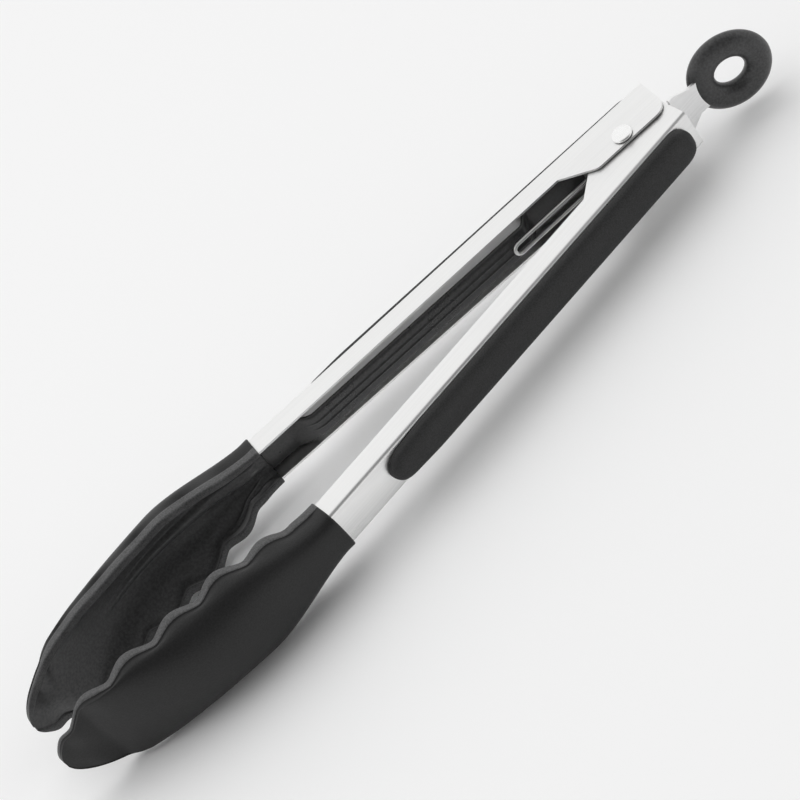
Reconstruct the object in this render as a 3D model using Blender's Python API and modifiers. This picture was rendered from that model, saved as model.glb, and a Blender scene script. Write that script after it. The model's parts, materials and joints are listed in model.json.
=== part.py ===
"""Spring loaded kitchen tongs, lying on their side.

Frame: metres, +Z up along the pivot pin, +X towards the hanging ring, heads towards -X.
The outer arm is on the +Y side and the inner arm, whose cheeks nest inside, is on the -Y side.
Each arm is drawn in its own (u, v, z) space: u runs back along the arm, v away from the other arm.
"""

import math

import bmesh
import bpy
from mathutils import Matrix

MM = 0.001
GAP = 0.3
# How far cutting tools run past what they cut
TRIM = 3.0

# Where the pivot pin stands, and how far each arm is turned away from the middle plane
PIN_X = 110.5
PIN_Z = 20.1
HALF_ANGLE = math.radians(4.75)

# Sheet steel arms
SHEET = 0.9
ARM_WIDTH = 16.6
OUTER_REAR_WIDTH = 19.5
WEB = 13.8
EDGE = 5.1
CHEEK_EDGE = -4.0
REAR = 17.5
CHEEK_FRONT = -13.7
SLANT_FRONT = -26.0
JUNCTION = -162.0
ARM_END = JUNCTION - 5.0
BEND_RADIUS = 1.4
BARE_FRONT = -157.0
BARE_REAR = -144.0
BARE_CROWN = 0.01
SHEET_BEND_STEPS = 4

# Pivot rivet and torsion spring
SHANK_RADIUS = 2.5
RIVET_HEAD_RADIUS = 3.85
RIVET_HEAD_HEIGHT = 1.2
WIRE_RADIUS = 0.65
COIL_RADIUS = 3.55
COIL_INNER_Z = 2.2
COIL_OUTER_Z = 6.4
COIL_WHOLE_TURNS = 2
OUTER_LEG_LENGTH = 50.0
INNER_LEG_LENGTH = 30.0

# Grip pads
PAD_REAR = 14.5
PAD_FRONT = -140.0
PAD_HALF_WIDTH = 7.4
PAD_HEIGHT = 4.3

# Heads: s runs from the arm's end towards the tip
HEAD_LENGTH = 116.3
RIM_START = 4.3
RIM_SLOPE = 0.024
RIM_CURVE = 0.00109
SLEEVE_HALF_WIDTH = 9.5
HEAD_HALF_WIDTH = 19.1
HEAD_BACK = 16.5
FLARE_LENGTH = 44.5
NOSE_START = 78.5
NOSE_POWER = 1.55
DROP_START = 50.5
DROP_CURVE = 0.00403
TIP_DROP_START = 98.0
TIP_DROP_CURVE = 0.0159
SLEEVE_POWER = 3.8
BOWL_POWER = 1.4
POWER_LENGTH = 71.0
LIP_HEIGHT = 2.2
LIP_STEP = 0.4
RIM_THICKNESS = 3.6
SCALLOP_PITCH = 19.2
SCALLOP_FIRST = 20.2
SCALLOP_DEPTH = 1.05
SCALLOP_REACH = 6.0
SCALLOP_FADE_IN = 8.0
SCALLOP_SHARPNESS = 0.75
SLEEVE_DEPTH = 5.5

# Core of each head, with its tail bar in the arm; the bar's end steps down behind the spring
TAIL_REAR = -17.0
TAIL_END = -40.0
TAIL_TOP = 9.6
BAR_REAR = -46.0
BAR_HALF_WIDTH = 5.2
BAR_TOP = 3.9
BAR_THICKNESS = 1.6
RIDGE_HEIGHT = 0.5
TONGUE_HALF_WIDTH = 7.0
TONGUE_TOP = 10.0
TONGUE_THICKNESS = 2.4
TONGUE_START = -139.0
TONGUE_END = -152.0
CORE_PLATE = 1.0
CORE_CLEARANCE = 0.45
CORE_LENGTH = 103.0
POST_RADIUS = 1.2
POST_Z = -4.0
POST_PLACES = (-62.0, -112.0)

# Pull tab and hanging ring
TAB_V = 5.1
TAB_SHEET = 1.2
TAB_FRONT = -1.0
TAB_HALF_WIDTH = 6.9
TAB_FLANGE_END = WEB - SHEET - 0.4
SHOULDER_HALF_WIDTH = 9.2
SHOULDER_START = REAR + 0.4
NECK_HALF_WIDTH = 6.2
RING_U = 41.7
RING_RADIUS = 10.6
RING_HALF_TUBE = 4.9
RING_HALF_HEIGHT = 3.6
TAB_BEND = 25.5
NECK_TILT = math.radians(10.0)
RUBBER_TILT = math.radians(11.0)
EYE_INNER = 9.0
EYE_OUTER = 12.0
EYE_SHEET = 1.0


# ---------------------------------------------------------------- helpers

def clear_scene():
    for obj in list(bpy.data.objects):
        bpy.data.objects.remove(obj, do_unlink=True)


def make_collection(name):
    collection = bpy.data.collections.new(name)
    bpy.context.scene.collection.children.link(collection)
    return collection


def make_material(name, colour, roughness, metallic):
    material = bpy.data.materials.new(name)
    material.use_nodes = True
    shader = material.node_tree.nodes["Principled BSDF"]
    shader.inputs["Base Color"].default_value = (*colour, 1.0)
    shader.inputs["Roughness"].default_value = roughness
    shader.inputs["Metallic"].default_value = metallic
    return material


def steel(name):
    return make_material(name, (0.74, 0.74, 0.73), 0.28, 1.0)


def rubber(name, shade=0.030):
    return make_material(name, (shade, shade, shade * 1.03), 0.62, 0.0)


def smoothstep(x):
    x = min(max(x, 0.0), 1.0)
    return x * x * (3.0 - 2.0 * x)


def blend(a, b, k):
    return a + (b - a) * k


def mesh_object(name, bm, collection, parent, material=None, smooth=True):
    """Turn a bmesh drawn in millimetres into an object in metres."""
    bmesh.ops.scale(bm, vec=(MM, MM, MM), verts=bm.verts)
    bmesh.ops.recalc_face_normals(bm, faces=bm.faces)
    mesh = bpy.data.meshes.new(name)
    bm.to_mesh(mesh)
    bm.free()
    obj = bpy.data.objects.new(name, mesh)
    collection.objects.link(obj)
    obj.parent = parent
    if material is not None:
        mesh.materials.append(material)
    if smooth:
        mesh.shade_smooth()
        mesh.set_sharp_from_angle(angle=math.radians(35.0))
    return obj


def make_cutter(name, bm, collection, parent):
    obj = mesh_object(name, bm, collection, parent, smooth=False)
    obj.hide_render = True
    obj.display_type = "WIRE"
    return obj


def boolean(obj, cutter, operation):
    modifier = obj.modifiers.new(cutter.name, "BOOLEAN")
    modifier.operation = operation
    modifier.solver = "EXACT"
    modifier.object = cutter


def loft(rings, side=1.0, closed_ends=True):
    """Skin a list of closed rings of (u, v, z) points; side mirrors v for the -Y arm."""
    bm = bmesh.new()
    rows = [[bm.verts.new((u, side * v, z)) for u, v, z in ring] for ring in rings]
    count = len(rows[0])
    for row, following in zip(rows, rows[1:]):
        for i in range(count):
            j = (i + 1) % count
            bm.faces.new((row[i], row[j], following[j], following[i]))
    if closed_ends:
        bm.faces.new(rows[0])
        bm.faces.new(rows[-1])
    return bm


def fillet(corners, segments=4):
    """Outline through (u, v, radius) corners, each rounded by an arc of its radius."""
    outline = []
    count = len(corners)
    for i, (u, v, radius) in enumerate(corners):
        if radius == 0.0:
            outline.append((u, v))
            continue
        before = corners[i - 1]
        after = corners[(i + 1) % count]
        ax, ay = before[0] - u, before[1] - v
        bx, by = after[0] - u, after[1] - v
        la, lb = math.hypot(ax, ay), math.hypot(bx, by)
        ax, ay, bx, by = ax / la, ay / la, bx / lb, by / lb
        half = 0.5 * math.acos(max(-1.0, min(1.0, ax * bx + ay * by)))
        reach = radius / math.tan(half)
        mx, my = ax + bx, ay + by
        lm = math.hypot(mx, my)
        cx = u + mx / lm * radius / math.sin(half)
        cy = v + my / lm * radius / math.sin(half)
        start = math.atan2(v + ay * reach - cy, u + ax * reach - cx)
        end = math.atan2(v + by * reach - cy, u + bx * reach - cx)
        turn = (end - start + math.pi) % (2.0 * math.pi) - math.pi
        for k in range(segments + 1):
            angle = start + turn * k / segments
            outline.append((cx + radius * math.cos(angle), cy + radius * math.sin(angle)))
    return outline


def offset(outline, distance):
    """Move a closed outline outwards by a distance, along the mean of its edges' normals."""
    count = len(outline)
    area = sum(outline[i - 1][0] * outline[i][1] - outline[i][0] * outline[i - 1][1]
               for i in range(count))
    sign = 1.0 if area > 0.0 else -1.0
    moved = []
    for i, (a, b) in enumerate(outline):
        normals = []
        for p, q in ((outline[i - 1], (a, b)), ((a, b), outline[(i + 1) % count])):
            da, db = q[0] - p[0], q[1] - p[1]
            length = max(math.hypot(da, db), 1e-9)
            normals.append((sign * db / length, -sign * da / length))
        na, nb = normals[0][0] + normals[1][0], normals[0][1] + normals[1][1]
        size = max(na * na + nb * nb, 0.8)
        moved.append((a + 2.0 * na * distance / size, b + 2.0 * nb * distance / size))
    return moved


def plate_mesh(outline, low, high, to_point):
    """Prism over an outline of (a, b) points between two levels; to_point places a point."""
    bm = bmesh.new()
    lower = [bm.verts.new(to_point(a, b, low)) for a, b in outline]
    upper = [bm.verts.new(to_point(a, b, high)) for a, b in outline]
    count = len(outline)
    for i in range(count):
        j = (i + 1) % count
        bm.faces.new((lower[i], lower[j], upper[j], upper[i]))
    bm.faces.new(lower)
    bm.faces.new(upper)
    return bm


def cylinder_mesh(radius, depth, centre, axis="Z", segments=24):
    bm = bmesh.new()
    bmesh.ops.create_cone(bm, cap_ends=True, segments=segments, radius1=radius, radius2=radius,
                          depth=depth)
    if axis == "Y":
        bmesh.ops.rotate(bm, matrix=Matrix.Rotation(math.radians(90.0), 3, "X"), verts=bm.verts)
    bmesh.ops.translate(bm, vec=centre, verts=bm.verts)
    return bm


# ---------------------------------------------------------------- arms

def outer_width(u):
    """The outer arm widens towards the rear, where the inner arm's cheeks nest inside it."""
    return blend(ARM_WIDTH, OUTER_REAR_WIDTH, (u - ARM_END) / (REAR - ARM_END))


def inner_width(_):
    return ARM_WIDTH


def channel_sheet(name, side, width_at, collection, parent, material):
    """Bent U of sheet: outer faces as an open surface, thickened inwards.

    The bare stretch between the head and the pad stands a hair proud, so that its faces stay
    separate from those beneath the sleeve and the pad.
    """
    bm = bmesh.new()
    rows = []
    for u in (ARM_END, BARE_FRONT, BARE_REAR, REAR + TRIM):
        crown = BARE_CROWN if BARE_FRONT <= u <= BARE_REAR else 0.0
        half = 0.5 * width_at(u) + crown
        path = [(CHEEK_EDGE - TRIM, half)]
        for k in range(SHEET_BEND_STEPS + 1):
            angle = math.radians(90.0 * k / SHEET_BEND_STEPS)
            path.append((WEB + crown - BEND_RADIUS + BEND_RADIUS * math.sin(angle),
                         half - BEND_RADIUS + BEND_RADIUS * math.cos(angle)))
        path += [(v, -z) for v, z in reversed(path)]
        rows.append([bm.verts.new((u, side * v, z)) for v, z in path])
    for row, following in zip(rows, rows[1:]):
        for i in range(len(row) - 1):
            bm.faces.new((row[i], row[i + 1], following[i + 1], following[i]))
    obj = mesh_object(name, bm, collection, parent, material)
    face = max(obj.data.polygons, key=lambda polygon: polygon.area)
    solidify = obj.modifiers.new("sheet", "SOLIDIFY")
    solidify.thickness = SHEET * MM
    solidify.use_even_offset = True
    outward = face.normal.z * face.center.z + face.normal.y * face.center.y * 10.0
    solidify.offset = -1.0 if outward > 0.0 else 1.0
    return obj


def cheek_outline():
    return fillet([
        (REAR, WEB + TRIM, 0.0),
        (REAR, CHEEK_EDGE, 5.0),
        (CHEEK_FRONT, CHEEK_EDGE, 4.0),
        (SLANT_FRONT, EDGE, 0.8),
        (ARM_END - TRIM, EDGE, 0.0),
        (ARM_END - TRIM, WEB + TRIM, 0.0),
    ])


def arm(name, side, width_at, parts, cutters, parent):
    obj = channel_sheet(name, side, width_at, parts, parent, steel(name))
    profile = plate_mesh(cheek_outline(), -15.0, 15.0, lambda a, b, c: (a, side * b, c))
    boolean(obj, make_cutter(name + "_outline", profile, cutters, parent), "INTERSECT")
    hole = cylinder_mesh(SHANK_RADIUS + GAP, 40.0, (0.0, 0.0, 0.0))
    boolean(obj, make_cutter(name + "_pin_hole", hole, cutters, parent), "DIFFERENCE")
    for k, u in enumerate(POST_PLACES):
        bore = cylinder_mesh(POST_RADIUS + GAP, 8.0, (u, side * WEB, POST_Z), "Y", 12)
        boolean(obj, make_cutter(f"{name}_post_hole_{k + 1}", bore, cutters, parent), "DIFFERENCE")
    return obj


# ---------------------------------------------------------------- rivet and spring

def rivet(parts, parent):
    """Turned rivet: the profile runs down its outer side and is spun about Z."""
    head_level = 0.5 * outer_width(RIVET_HEAD_RADIUS) + GAP
    top = head_level + RIVET_HEAD_HEIGHT
    dome = [(RIVET_HEAD_RADIUS * math.sin(math.radians(a)),
             head_level + 0.4 + (RIVET_HEAD_HEIGHT - 0.4) * math.cos(math.radians(a)))
            for a in (30.0, 55.0, 75.0, 90.0)]
    upper = [(0.0, top)] + dome + [(RIVET_HEAD_RADIUS, head_level), (SHANK_RADIUS, head_level)]
    profile = upper + [(r, -z) for r, z in reversed(upper)]
    bm = bmesh.new()
    verts = [bm.verts.new((r, 0.0, z)) for r, z in profile]
    for a, b in zip(verts, verts[1:]):
        bm.edges.new((a, b))
    obj = mesh_object("pivot_rivet", bm, parts, parent, steel("pivot_rivet"))
    screw = obj.modifiers.new("turn", "SCREW")
    screw.axis = "Z"
    screw.steps = 24
    screw.render_steps = 24
    screw.use_merge_vertices = True
    screw.merge_threshold = 0.00001
    return obj


def leg_point(side, u, v, z):
    """Place a point of an arm's own space in the pin's frame."""
    cos, sin = math.cos(HALF_ANGLE), math.sin(HALF_ANGLE)
    return (u * cos + v * sin, side * (v * cos - u * sin), z)


def spring_path():
    """Half of the wire, from the free end on the inner arm to the middle of the hairpin."""
    foot = leg_point(-1.0, -INNER_LEG_LENGTH, WEB - SHEET - WIRE_RADIUS - 0.5, COIL_OUTER_Z)
    nose_level = BAR_TOP - RIDGE_HEIGHT - WIRE_RADIUS - GAP
    nose = leg_point(1.0, -OUTER_LEG_LENGTH, nose_level, COIL_INNER_Z)
    # the legs are tangents: one leaves the coil's underside and the other its top
    foot_angle = math.atan2(foot[1], foot[0]) + math.acos(COIL_RADIUS / math.hypot(*foot[:2]))
    nose_angle = math.atan2(nose[1], nose[0]) - math.acos(COIL_RADIUS / math.hypot(*nose[:2]))
    turn = (nose_angle - foot_angle) % (2.0 * math.pi) + 2.0 * math.pi * COIL_WHOLE_TURNS
    steps = int(turn / math.radians(30.0))
    points = [foot]
    for k in range(steps + 1):
        angle = foot_angle + turn * k / steps
        z = blend(COIL_OUTER_Z, COIL_INNER_Z, k / steps)
        points.append((COIL_RADIUS * math.cos(angle), COIL_RADIUS * math.sin(angle), z))
    points.append(nose)
    for k in range(1, 4):
        angle = math.radians(30.0 * k)
        points.append((nose[0] - COIL_INNER_Z * math.sin(angle), nose[1],
                       COIL_INNER_Z * math.cos(angle)))
    return points


def torsion_spring(parts, parent):
    half = spring_path()
    points = half + [(x, y, -z) for x, y, z in reversed(half[:-1])]
    curve = bpy.data.curves.new("torsion_spring", "CURVE")
    curve.dimensions = "3D"
    curve.bevel_depth = WIRE_RADIUS * MM
    curve.bevel_resolution = 2
    curve.use_fill_caps = True
    spline = curve.splines.new("POLY")
    spline.points.add(len(points) - 1)
    for point, place in zip(spline.points, points):
        point.co = (*(c * MM for c in place), 1.0)
    obj = bpy.data.objects.new("torsion_spring", curve)
    parts.objects.link(obj)
    obj.parent = parent
    curve.materials.append(make_material("torsion_spring", (0.62, 0.62, 0.61), 0.22, 1.0))
    return obj


# ---------------------------------------------------------------- grip pads

def grip_pad(name, side, parts, cutters, parent):
    """Long soft pad with round ends on the outside of the web."""
    stations = 22
    rings = []
    middle, half_length = 0.5 * (PAD_REAR + PAD_FRONT), 0.5 * (PAD_REAR - PAD_FRONT)
    straight = half_length - PAD_HALF_WIDTH
    for k in range(stations + 1):
        phase = math.pi * (k + 0.35) / (stations + 0.7)
        ends = math.cos(phase)
        u = middle + math.copysign(half_length * abs(ends) ** 0.45, ends)
        over = max(abs(u - middle) - straight, 0.0) / PAD_HALF_WIDTH
        fullness = math.sqrt(max(1.0 - min(over, 0.998) ** 2.3, 0.0))
        half = PAD_HALF_WIDTH * fullness
        height = (PAD_HEIGHT - GAP) * (0.25 + 0.75 * fullness)
        ring = []
        for i in range(13):
            angle = math.pi * i / 12
            z = math.copysign(abs(math.cos(angle)) ** (2.0 / 3.0), math.cos(angle)) * half
            ring.append((u, WEB + GAP + height * math.sin(angle) ** (2.0 / 3.0), z))
        rings.append(ring)
    bm = loft(rings, side)
    obj = mesh_object(name, bm, parts, parent, rubber(name))
    for k, u in enumerate(POST_PLACES):
        bore = cylinder_mesh(POST_RADIUS + GAP, 4.4, (u, side * (WEB + GAP), POST_Z), "Y", 12)
        boolean(obj, make_cutter(f"{name}_socket_{k + 1}", bore, cutters, parent), "DIFFERENCE")
    return obj


# ---------------------------------------------------------------- heads

def rim_level(s):
    """Height of the head's rim over the pivot plane, falling towards the tip."""
    return RIM_START - RIM_SLOPE * s - RIM_CURVE * s * s


def half_width(s):
    base = blend(SLEEVE_HALF_WIDTH, HEAD_HALF_WIDTH, smoothstep((s - 1.5) / FLARE_LENGTH))
    nose = min(max((s - NOSE_START) / (HEAD_LENGTH - NOSE_START), 0.0), 1.0)
    return base * math.sqrt(max(1.0 - nose ** NOSE_POWER, 0.0))


def back_level(s):
    drop = DROP_CURVE * max(s - DROP_START, 0.0) ** 2
    drop += TIP_DROP_CURVE * max(s - TIP_DROP_START, 0.0) ** 2
    return max(HEAD_BACK - drop, rim_level(s) + LIP_HEIGHT + 0.6)


def fullness_power(s):
    """Exponent of the bowl's section: nearly square on the arm, rounder towards the tip."""
    return blend(SLEEVE_POWER, BOWL_POWER, smoothstep(s / POWER_LENGTH))


def scallop(s):
    """Wave of the rim, from 0 in a notch to 1 on a lobe."""
    wave = 0.5 + 0.5 * math.cos(2.0 * math.pi * (s - SCALLOP_FIRST) / SCALLOP_PITCH)
    fade_in = smoothstep((s - SCALLOP_FADE_IN - 1.0) / SCALLOP_FADE_IN)
    fade_out = smoothstep((HEAD_LENGTH - 2.0 - s) / SCALLOP_REACH)
    return (2.0 * wave ** SCALLOP_SHARPNESS - 1.0) * fade_in * fade_out


def bowl(half, low, high, power, count):
    """Points of a bowl's section from its +z rim round its back to its -z rim."""
    points = []
    for i in range(count):
        angle = math.radians(90.0 - 180.0 * i / (count - 1))
        z = math.copysign(abs(math.sin(angle)) ** (2.0 / power), angle) * half
        points.append((low + (high - low) * abs(math.cos(angle)) ** (2.0 / power), z))
    return points


def skin_ring(s):
    rim, half, back, power = rim_level(s), half_width(s), back_level(s), fullness_power(s)
    outer = [(rim, half), *bowl(half - LIP_STEP, rim + LIP_HEIGHT, back, power, 11), (rim, -half)]
    outer.insert(1, (rim + LIP_HEIGHT - 0.3, half))
    outer.insert(-1, (rim + LIP_HEIGHT - 0.3, -half))
    inner_half = max(half - RIM_THICKNESS, 0.35 * half)
    floor = core_top(s) - 2.0 * GAP - 0.35
    depth = smoothstep((HEAD_LENGTH - 4.0 - s) / 12.0)
    inner = bowl(inner_half, rim, blend(rim, floor, depth), power, 9)
    ring = []
    for points in (outer, inner[::-1]):
        for v, z in points:
            near_rim = max(1.0 - (v - rim) / SCALLOP_REACH, 0.0) ** 2
            shift = SCALLOP_DEPTH * scallop(s) * near_rim
            sideways = math.copysign(shift, z) * min(half / SCALLOP_REACH, 1.0)
            ring.append((JUNCTION - s, v - shift, z + sideways))
    return ring


def core_top(s):
    """Level of the core's inner face in the middle of the head."""
    return blend(TONGUE_TOP, back_level(s) - 2.6, smoothstep((s - 2.0) / 28.0))


def core_ring(u, grow=0.0):
    """Section of the core: a flat tail, a ridged bar, a flat tongue and then a curved plate."""
    s = JUNCTION - u
    tail = smoothstep((u - BAR_REAR) / (TAIL_END - BAR_REAR))
    tongue = smoothstep((TONGUE_START - u) / (TONGUE_START - TONGUE_END))
    top = blend(BAR_TOP, TONGUE_TOP, tongue) if s < 0.0 else core_top(s)
    top = blend(top, TAIL_TOP, tail)
    thick = blend(BAR_THICKNESS, TONGUE_THICKNESS, tongue)
    half = blend(BAR_HALF_WIDTH, TONGUE_HALF_WIDTH, tongue)
    curl, power = 0.0, 2.0
    if s > 0.0:
        grown = smoothstep((s - 4.0) / 26.0)
        thick = blend(TONGUE_THICKNESS, CORE_PLATE, grown)
        half = max(blend(TONGUE_HALF_WIDTH, half_width(s) - 1.9, grown), 1.0)
        curl = grown
        power = fullness_power(s)
    ridge = RIDGE_HEIGHT * (1.0 - tongue) * (1.0 - tail)
    wall = blend(0.0, thick, curl)
    edge = rim_level(s) + 2.2
    lower, upper = [], []
    for t in (-1.0, -0.9, -0.75, -0.6, -0.40, -0.34, -0.24, -0.18, 0.18, 0.24, 0.34, 0.40,
              0.6, 0.75, 0.9, 1.0):
        angle = math.radians(90.0 * t)
        across = math.copysign(abs(math.sin(angle)) ** (2.0 / power), t)
        down = abs(math.cos(angle)) ** (2.0 / power)
        flat = half * t
        raised = ridge if 0.2 < abs(t) < 0.36 else 0.0
        inner_v = blend(top, blend(edge, top, down), curl) - raised
        outer_v = blend(top, blend(edge, top + thick, down), curl)
        outer_v = max(outer_v, blend(top + thick, edge, curl))
        inner_z = blend(flat, (half - wall) * across, curl)
        outer_z = blend(flat, half * across, curl)
        lower.append((inner_v, inner_z))
        upper.append((outer_v, outer_z))
    section = lower + upper[::-1]
    return [(u, v, z) for v, z in (offset(section, grow) if grow else section)]


def core_stations(first):
    """Stations along the core, close together where its section changes."""
    tail = [TAIL_REAR]
    tail += [blend(TAIL_END, BAR_REAR, k / 4.0) for k in range(5)]
    tail.append(TONGUE_START)
    turn = [blend(TONGUE_START, TONGUE_END, k / 5.0) for k in range(1, 6)]
    head = [JUNCTION - s for s in (-1.0, 2.0, 6.0, 10.0, 15.0, 20.0, 26.0, 34.0, 44.0, 54.0, 64.0,
                                   74.0, 84.0, 90.0, 96.0, 100.0, CORE_LENGTH)]
    return [u for u in tail + turn + head if u <= first]


def head_core(name, side, parts, cutters, parent):
    rings = [core_ring(u) for u in core_stations(TAIL_REAR)]
    obj = mesh_object(name, loft(rings, side), parts, parent, rubber(name, 0.022))
    for k, u in enumerate(POST_PLACES):
        low, high = BAR_TOP + 0.6, WEB + 2.0
        centre = (u, side * 0.5 * (low + high), POST_Z)
        post = cylinder_mesh(POST_RADIUS, high - low, centre, "Y", 12)
        boolean(obj, make_cutter(f"{name}_post_{k + 1}", post, cutters, parent), "UNION")
    return obj


def head_skin(name, side, parts, cutters, parent):
    """Silicone shell: a scalloped bowl, a sleeve over the arm, and a pocket for the core."""
    spacing = SCALLOP_PITCH / 6.0
    stations = [spacing * k for k in range(31)]
    first_nose = stations[-1]
    for k in range(1, 9):
        turn = math.sin(math.radians(90.0 * k / 8.0))
        stations.append(blend(first_nose, HEAD_LENGTH - 0.25, turn))
    obj = mesh_object(name, loft([skin_ring(s) for s in stations], side), parts, parent,
                      rubber(name))
    half = 0.5 * ARM_WIDTH + GAP
    sleeve = plate_mesh([(-half, -10.0), (half, -10.0), (half, WEB + GAP), (-half, WEB + GAP)],
                        JUNCTION - SLEEVE_DEPTH, JUNCTION + 5.0,
                        lambda z, v, u: (u, side * v, z))
    boolean(obj, make_cutter(name + "_arm_seat", sleeve, cutters, parent), "DIFFERENCE")
    rings = [core_ring(u, CORE_CLEARANCE) for u in core_stations(JUNCTION + 2.0)]
    end = [(u - CORE_CLEARANCE, v, z) for u, v, z in rings[-1]]
    pocket = loft(rings + [end], side)
    boolean(obj, make_cutter(name + "_core_pocket", pocket, cutters, parent), "DIFFERENCE")
    return obj


# ---------------------------------------------------------------- pull tab and ring

def tab_outline(half_rear):
    return fillet([
        (TAB_FRONT, -TAB_HALF_WIDTH, 0.0),
        (SHOULDER_START, -TAB_HALF_WIDTH, 0.0),
        (SHOULDER_START, -SHOULDER_HALF_WIDTH, 0.6),
        (SHOULDER_START + 2.0, -SHOULDER_HALF_WIDTH, 0.8),
        (TAB_BEND + 0.4, -half_rear, 0.0),
        (TAB_BEND + 0.4, half_rear, 0.0),
        (SHOULDER_START + 2.0, SHOULDER_HALF_WIDTH, 0.8),
        (SHOULDER_START, SHOULDER_HALF_WIDTH, 0.6),
        (SHOULDER_START, TAB_HALF_WIDTH, 0.0),
        (TAB_FRONT, TAB_HALF_WIDTH, 0.0),
    ], 3)


def seat_on_tab(bm, side):
    """Move a shape drawn round the Y axis to the ring's place, past the bend in the tab."""
    bend = Matrix.Rotation(side * NECK_TILT, 4, "Z")
    reach = (RING_U - TAB_BEND) / math.cos(NECK_TILT)
    place = Matrix.Translation((TAB_BEND, side * TAB_V, 0.0))
    bmesh.ops.transform(bm, matrix=place @ bend @ Matrix.Translation((reach, 0.0, 0.0)),
                        verts=bm.verts)
    return bm


def eye_mesh(radius, thickness, side):
    return seat_on_tab(cylinder_mesh(radius, thickness, (0.0, 0.0, 0.0), "Y", 28), side)


def neck_mesh(half, thickness, side):
    """Straight strip from the bend to the eye."""
    reach = (RING_U - TAB_BEND) / math.cos(NECK_TILT)
    strip = plate_mesh([(-reach, -half), (-EYE_OUTER + 3.0, -half), (-EYE_OUTER + 3.0, half),
                        (-reach, half)], -0.5 * thickness, 0.5 * thickness,
                       lambda u, z, v: (u, v, z))
    return seat_on_tab(strip, side)


def pull_tab(side, parts, cutters, parent):
    low, high = TAB_V - 0.5 * TAB_SHEET, TAB_V + 0.5 * TAB_SHEET
    plate = plate_mesh(tab_outline(NECK_HALF_WIDTH), low, high, lambda u, z, v: (u, side * v, z))
    obj = mesh_object("pull_tab", plate, parts, parent, steel("pull_tab"))
    for sign, label in ((1.0, "near"), (-1.0, "far")):
        flange = plate_mesh([(TAB_FRONT, low + 0.2), (SHOULDER_START - 0.8, low + 0.2),
                             (SHOULDER_START - 0.8, TAB_FLANGE_END), (TAB_FRONT, TAB_FLANGE_END)],
                            TAB_HALF_WIDTH - TAB_SHEET, TAB_HALF_WIDTH + 0.02,
                            lambda u, v, z: (u, side * v, sign * z))
        boolean(obj, make_cutter(f"tab_flange_{label}", flange, cutters, parent), "UNION")
    neck = neck_mesh(NECK_HALF_WIDTH, TAB_SHEET, side)
    boolean(obj, make_cutter("tab_neck", neck, cutters, parent), "UNION")
    disc = eye_mesh(EYE_OUTER, EYE_SHEET, side)
    boolean(obj, make_cutter("tab_eye", disc, cutters, parent), "UNION")
    hole = eye_mesh(EYE_INNER, 12.0, side)
    boolean(obj, make_cutter("tab_eye_hole", hole, cutters, parent), "DIFFERENCE")
    return obj


def hang_ring(side, parts, cutters, parent):
    bpy.ops.mesh.primitive_torus_add(major_radius=RING_RADIUS, minor_radius=RING_HALF_TUBE,
                                     major_segments=32, minor_segments=12)
    source = bpy.context.object
    bm = bmesh.new()
    bm.from_mesh(source.data)
    bpy.data.objects.remove(source, do_unlink=True)
    bmesh.ops.scale(bm, vec=(1.0, 1.0, RING_HALF_HEIGHT / RING_HALF_TUBE), verts=bm.verts)
    bmesh.ops.rotate(bm, matrix=Matrix.Rotation(math.radians(90.0), 3, "X"), verts=bm.verts)
    bmesh.ops.rotate(bm, matrix=Matrix.Rotation(side * RUBBER_TILT, 3, "Z"), verts=bm.verts)
    seat_on_tab(bm, side)
    obj = mesh_object("hang_ring", bm, parts, parent, rubber("hang_ring", 0.045))
    pocket = eye_mesh(EYE_OUTER + GAP, EYE_SHEET + 2.0 * GAP, side)
    boolean(obj, make_cutter("ring_pocket", pocket, cutters, parent), "DIFFERENCE")
    slot = neck_mesh(NECK_HALF_WIDTH + GAP, TAB_SHEET + 2.0 * GAP + 0.04, side)
    boolean(obj, make_cutter("ring_slot", slot, cutters, parent), "DIFFERENCE")
    return obj


# ---------------------------------------------------------------- assembly

def make_empty(name, collection, parent=None, angle=0.0, location=(0.0, 0.0, 0.0)):
    empty = bpy.data.objects.new(name, None)
    collection.objects.link(empty)
    empty.empty_display_size = 0.01
    empty.parent = parent
    empty.location = location
    empty.rotation_euler = (0.0, 0.0, angle)
    return empty


def main():
    clear_scene()
    parts = make_collection("kitchen_tongs")
    cutters = make_collection("cutters")
    pivot = make_empty("pivot", parts, location=(PIN_X * MM, 0.0, PIN_Z * MM))
    outer = make_empty("outer_arm_axis", parts, pivot, -HALF_ANGLE)
    inner = make_empty("inner_arm_axis", parts, pivot, HALF_ANGLE)
    for prefix, side, parent, width_at in (("outer", 1.0, outer, outer_width),
                                           ("inner", -1.0, inner, inner_width)):
        arm(prefix + "_arm", side, width_at, parts, cutters, parent)
        grip_pad(prefix + "_grip_pad", side, parts, cutters, parent)
        head_core(prefix + "_head_core", side, parts, cutters, parent)
        head_skin(prefix + "_head_skin", side, parts, cutters, parent)
    rivet(parts, pivot)
    torsion_spring(parts, pivot)
    slide = make_empty("tab_slide", parts, inner)
    pull_tab(-1.0, parts, cutters, slide)
    hang_ring(-1.0, parts, cutters, slide)


main()
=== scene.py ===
"""Looks of the spring loaded kitchen tongs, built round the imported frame.

Pieces are drawn in millimetres in an arm's own (u, v, z) space: u runs back along the arm from the
pivot, v away from the other arm and z up. side is +1 for the outer arm and -1 for the inner one.
In the heads s runs forward from where the sleeve starts on the arm. A constant that ends in RISE
is the start and length of a smooth step from 0 to 1, and one that ends in FALL is the end and
length of a step from 1 to 0.
"""

import json
import math

import bmesh
import bpy
from mathutils import Matrix, Vector


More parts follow.
